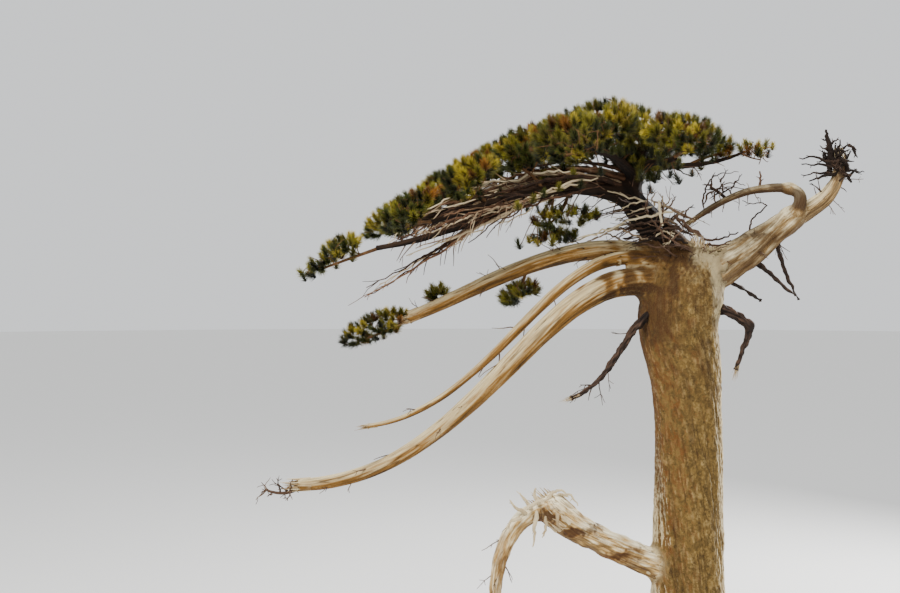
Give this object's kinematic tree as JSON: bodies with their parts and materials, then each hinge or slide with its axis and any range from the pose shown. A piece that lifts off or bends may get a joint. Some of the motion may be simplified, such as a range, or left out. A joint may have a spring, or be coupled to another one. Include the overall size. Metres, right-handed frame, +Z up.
{
  "type": "windswept pine tree",
  "caption": "Old mountain pine combed to one side by the wind: thick furrowed trunk, long bare boughs sweeping down, a sheet of needle tufts and a dead snag.",
  "frame": {"origin": "middle of the trunk's flat cut, at ground level", "axes": "+Z up along the trunk, -X downwind where the crown streams to, -Y toward the side shown in front"},
  "size_m": [7.1984, 3.2935, 7.2053],
  "materials": {
    "trunk": "rough furrowed bark",
    "bough": "rough flaky bark",
    "dead_wood": "weathered, barkless",
    "snag": "bleached, rough",
    "needles": "waxy needles",
    "twigs": "dry, rough"
  },
  "bodies": {
    "root": {"arch_return": "snag", "arch_rise": "snag", "bough_high": "bough", "bough_low": "bough", "bough_middle": "bough", "crown_bough_back": "bough", "crown_bough_back_wide": "bough", "crown_bough_front": "bough", "crown_bough_front_wide": "bough", "crown_bough_high": "bough", "crown_bough_low": "bough", "crown_bough_middle": "bough", "crown_bough_right": "bough", "crown_bough_right_back": "bough", "crown_bough_right_front": "bough", "dead_drop": "dead_wood", "dead_limb": "dead_wood", "dead_limb_hanging": "dead_wood", "dead_spike_far": "dead_wood", "dead_spike_near": "dead_wood", "dead_stub": "dead_wood", "hook_arm": "dead_wood", "hook_hanging": "dead_wood", "leader": "bough", "needles_back_1": "needles", "needles_back_2": "needles", "needles_back_3": "needles", "needles_back_wide_1": "needles", "needles_back_wide_2": "needles", "needles_bough_tip": "needles", "needles_bough_top": "needles", "needles_bough_under": "needles", "needles_front_1": "needles", "needles_front_2": "needles", "needles_front_3": "needles", "needles_front_wide_1": "needles", "needles_front_wide_2": "needles", "needles_middle_1": "needles", "needles_middle_2": "needles", "needles_middle_3": "needles", "needles_right_1": "needles", "needles_right_2": "needles", "needles_right_back": "needles", "needles_right_front": "needles", "needles_right_tip": "needles", "needles_shoulder": "needles", "needles_tip": "needles", "needles_top": "needles", "needles_under_far": "needles", "needles_under_near": "needles", "right_limb": "snag", "right_snag": "snag", "trunk": "trunk", "twigs_arch": "twigs", "twigs_bough_end": "twigs", "twigs_snag": "twigs", "twigs_tangle": "twigs", "upper_trunk": "bough"}
  },
  "joints": []
}
